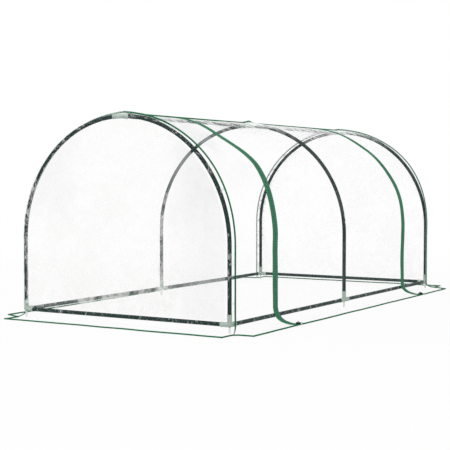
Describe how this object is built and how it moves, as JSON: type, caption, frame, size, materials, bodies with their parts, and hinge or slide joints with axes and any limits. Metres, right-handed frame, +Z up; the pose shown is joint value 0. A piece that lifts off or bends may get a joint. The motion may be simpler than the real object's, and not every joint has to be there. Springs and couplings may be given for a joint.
{
  "type": "polytunnel greenhouse",
  "caption": "Low arched polytunnel greenhouse: tube hoops on a base frame with push-fit connectors, under a clear film cover with a zipped side panel and a ground skirt.",
  "frame": {"origin": "on the ground under the middle of the tunnel", "axes": "+Z up, Y along the tunnel with the front end at -Y, zipped side at +X"},
  "size_m": [1.2262, 2.2262, 0.8312],
  "materials": {
    "coated_steel_tube": "satin powder coat",
    "moulded_connector": "moulded, slightly translucent",
    "clear_film": "clear soft film, glossy with fine wrinkles",
    "zip_tape": "woven tape with a plastic coil",
    "zip_slider": "painted die casting",
    "green_binding": "woven binding, sewn"
  },
  "bodies": {
    "root": {"base_tube_front": "coated_steel_tube", "base_tube_back": "coated_steel_tube", "base_tube_left_front": "coated_steel_tube", "base_tube_left_back": "coated_steel_tube", "base_tube_right_front": "coated_steel_tube", "base_tube_right_back": "coated_steel_tube", "leg_left_front": "coated_steel_tube", "leg_left_middle": "coated_steel_tube", "leg_left_back": "coated_steel_tube", "leg_right_front": "coated_steel_tube", "leg_right_middle": "coated_steel_tube", "leg_right_back": "coated_steel_tube", "arc_left_front": "coated_steel_tube", "arc_left_middle": "coated_steel_tube", "arc_left_back": "coated_steel_tube", "arc_right_front": "coated_steel_tube", "arc_right_middle": "coated_steel_tube", "arc_right_back": "coated_steel_tube", "ridge_tube_front": "coated_steel_tube", "ridge_tube_back": "coated_steel_tube", "corner_left_front": "moulded_connector", "corner_left_back": "moulded_connector", "corner_right_front": "moulded_connector", "corner_right_back": "moulded_connector", "base_tee_left": "moulded_connector", "base_tee_right": "moulded_connector", "ridge_tee_front": "moulded_connector", "ridge_tee_back": "moulded_connector", "ridge_cross": "moulded_connector", "left_sheet": "clear_film", "front_right_sheet": "clear_film", "door_panel": "clear_film", "back_right_sheet": "clear_film", "front_end_sheet": "clear_film", "back_end_sheet": "clear_film", "front_zip": "zip_tape", "back_zip": "zip_tape", "front_slider": "zip_slider", "back_slider": "zip_slider", "front_seam_piping": "green_binding", "back_seam_piping": "green_binding", "ridge_piping": "green_binding", "hem_binding": "green_binding"}
  },
  "joints": []
}
